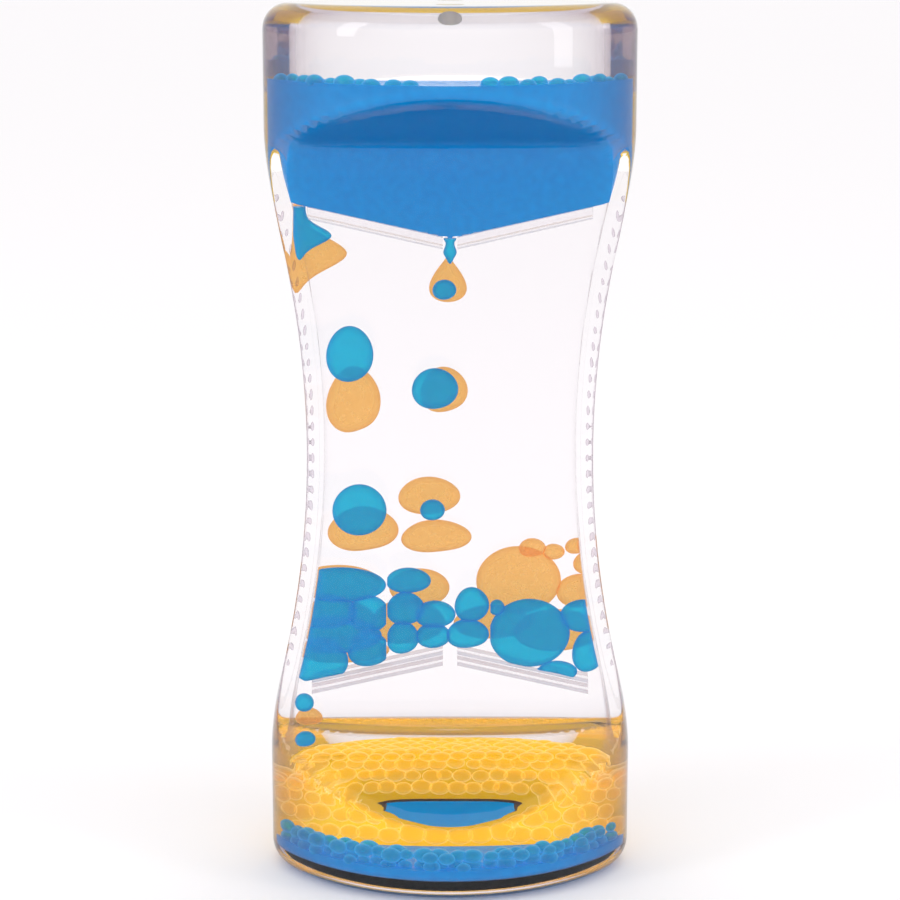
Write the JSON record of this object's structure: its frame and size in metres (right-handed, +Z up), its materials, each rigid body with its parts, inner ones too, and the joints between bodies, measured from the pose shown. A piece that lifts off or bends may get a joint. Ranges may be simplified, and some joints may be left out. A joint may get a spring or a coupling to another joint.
{
  "type": "liquid motion hourglass timer",
  "caption": "Clear waisted hourglass timer with blue and yellow liquid drops falling over ramps on each side of a divider.",
  "frame": {"origin": "centre of the resting face at the bottom", "axes": "+Z up to the top face, +X to the right across the width, -Y to the front, where the blue cell is"},
  "size_m": [0.0584, 0.044, 0.14],
  "materials": {
    "clear_shell": "clear, polished, moulded",
    "clear_divider": "clear sheet",
    "clear_ramp": "clear, moulded",
    "plug_rubber": "soft, translucent beige",
    "blue_liquid": "dyed blue liquid",
    "yellow_liquid": "dyed yellow liquid"
  },
  "bodies": {
    "housing": {"front_shell": "clear_shell", "rear_shell": "clear_shell", "divider_plate": "clear_divider", "front_upper_ramp_left": "clear_ramp", "front_upper_ramp_right": "clear_ramp", "front_lower_ramp_left": "clear_ramp", "front_lower_ramp_right": "clear_ramp", "rear_upper_ramp_left": "clear_ramp", "rear_upper_ramp_right": "clear_ramp", "rear_lower_ramp_left": "clear_ramp", "rear_lower_ramp_right": "clear_ramp", "front_fill_plug": "plug_rubber", "rear_fill_plug": "plug_rubber", "blue_upper_pool": "blue_liquid", "blue_nozzle_drip": "blue_liquid", "blue_side_drip": "blue_liquid", "blue_heap_left": "blue_liquid", "blue_heap_middle": "blue_liquid", "blue_heap_right": "blue_liquid", "blue_lower_pool": "blue_liquid", "yellow_upper_pool": "yellow_liquid", "yellow_side_drip": "yellow_liquid", "yellow_heap_left": "yellow_liquid", "yellow_heap_right": "yellow_liquid", "yellow_lower_pool": "yellow_liquid"},
    "blue_drop_1": {"blue_drop_1": "blue_liquid"},
    "blue_drop_2": {"blue_drop_2": "blue_liquid"},
    "blue_drop_3": {"blue_drop_3": "blue_liquid"},
    "blue_drop_4": {"blue_drop_4": "blue_liquid"},
    "blue_drop_5": {"blue_drop_5": "blue_liquid"},
    "blue_drop_6": {"blue_drop_6": "blue_liquid"},
    "blue_drop_7": {"blue_drop_7": "blue_liquid"},
    "yellow_drop_1": {"yellow_drop_1": "yellow_liquid"},
    "yellow_drop_2": {"yellow_drop_2": "yellow_liquid"},
    "yellow_drop_3": {"yellow_drop_3": "yellow_liquid"},
    "yellow_drop_4": {"yellow_drop_4": "yellow_liquid"},
    "yellow_drop_5": {"yellow_drop_5": "yellow_liquid"},
    "yellow_drop_6": {"yellow_drop_6": "yellow_liquid"},
    "yellow_drop_7": {"yellow_drop_7": "yellow_liquid"}
  },
  "joints": [
    {"name": "blue_drop_1_fall", "type": "slide", "parent": "housing", "child": "blue_drop_1", "axis": [0, 0, 1], "range_m": [-0.0106, 0.0023]},
    {"name": "blue_drop_2_fall", "type": "slide", "parent": "housing", "child": "blue_drop_2", "axis": [0, 0, 1], "range_m": [-0.0162, 0.0102]},
    {"name": "blue_drop_3_fall", "type": "slide", "parent": "housing", "child": "blue_drop_3", "axis": [0, 0, 1], "range_m": [-0.0143, 0]},
    {"name": "blue_drop_4_fall", "type": "slide", "parent": "housing", "child": "blue_drop_4", "axis": [0, 0, 1], "range_m": [-0.0048, 0]},
    {"name": "blue_drop_5_fall", "type": "slide", "parent": "housing", "child": "blue_drop_5", "axis": [0, 0, 1], "range_m": [-0.0074, 0]},
    {"name": "blue_drop_6_fall", "type": "slide", "parent": "housing", "child": "blue_drop_6", "axis": [0, 0, 1], "range_m": [-0.0036, 0]},
    {"name": "blue_drop_7_fall", "type": "slide", "parent": "housing", "child": "blue_drop_7", "axis": [0, 0, 1], "range_m": [-0.011, 0]},
    {"name": "yellow_drop_1_fall", "type": "slide", "parent": "housing", "child": "yellow_drop_1", "axis": [0, 0, 1], "range_m": [-0.01, 0.0012]},
    {"name": "yellow_drop_2_fall", "type": "slide", "parent": "housing", "child": "yellow_drop_2", "axis": [0, 0, 1], "range_m": [-0.0102, 0]},
    {"name": "yellow_drop_3_fall", "type": "slide", "parent": "housing", "child": "yellow_drop_3", "axis": [0, 0, 1], "range_m": [-0.0118, 0.0104]},
    {"name": "yellow_drop_4_fall", "type": "slide", "parent": "housing", "child": "yellow_drop_4", "axis": [0, 0, 1], "range_m": [-0.0006, 0]},
    {"name": "yellow_drop_5_fall", "type": "slide", "parent": "housing", "child": "yellow_drop_5", "axis": [0, 0, 1], "range_m": [-0.0019, 0]},
    {"name": "yellow_drop_6_fall", "type": "slide", "parent": "housing", "child": "yellow_drop_6", "axis": [0, 0, 1], "range_m": [-0.002, 0]},
    {"name": "yellow_drop_7_fall", "type": "slide", "parent": "housing", "child": "yellow_drop_7", "axis": [0, 0, 1], "range_m": [-0.0077, 0.0037]}
  ]
}
